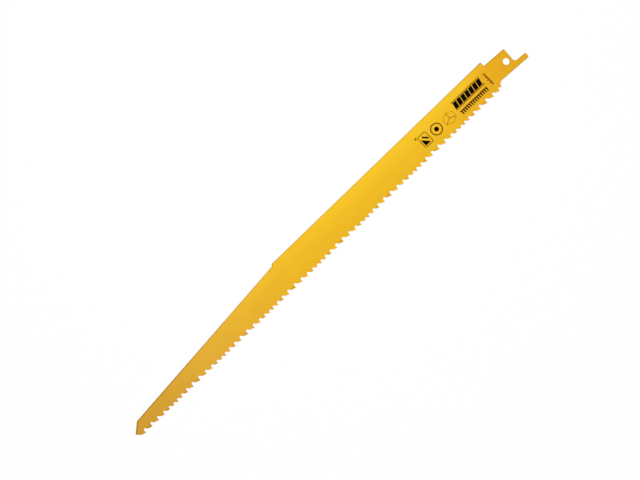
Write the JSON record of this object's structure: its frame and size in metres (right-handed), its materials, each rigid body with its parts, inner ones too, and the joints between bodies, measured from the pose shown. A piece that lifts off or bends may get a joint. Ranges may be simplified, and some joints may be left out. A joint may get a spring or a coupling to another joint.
{
  "type": "reciprocating saw blade",
  "caption": "Long flat saw blade with a canted tang, a pin hole and hook, a stepped tapering back, a pointed nose and set teeth of varying pitch.",
  "frame": {"origin": "centre of the pin hole in the tang, halfway through the steel", "axes": "+X along the blade to its nose, +Y across it to the teeth, +Z out of the printed face, which lies upwards"},
  "size_m": [0.305, 0.0191, 0.0018],
  "materials": {
    "enamel": "semi-gloss baked enamel over strip steel"
  },
  "bodies": {
    "root": {"blade": "enamel"}
  },
  "joints": []
}
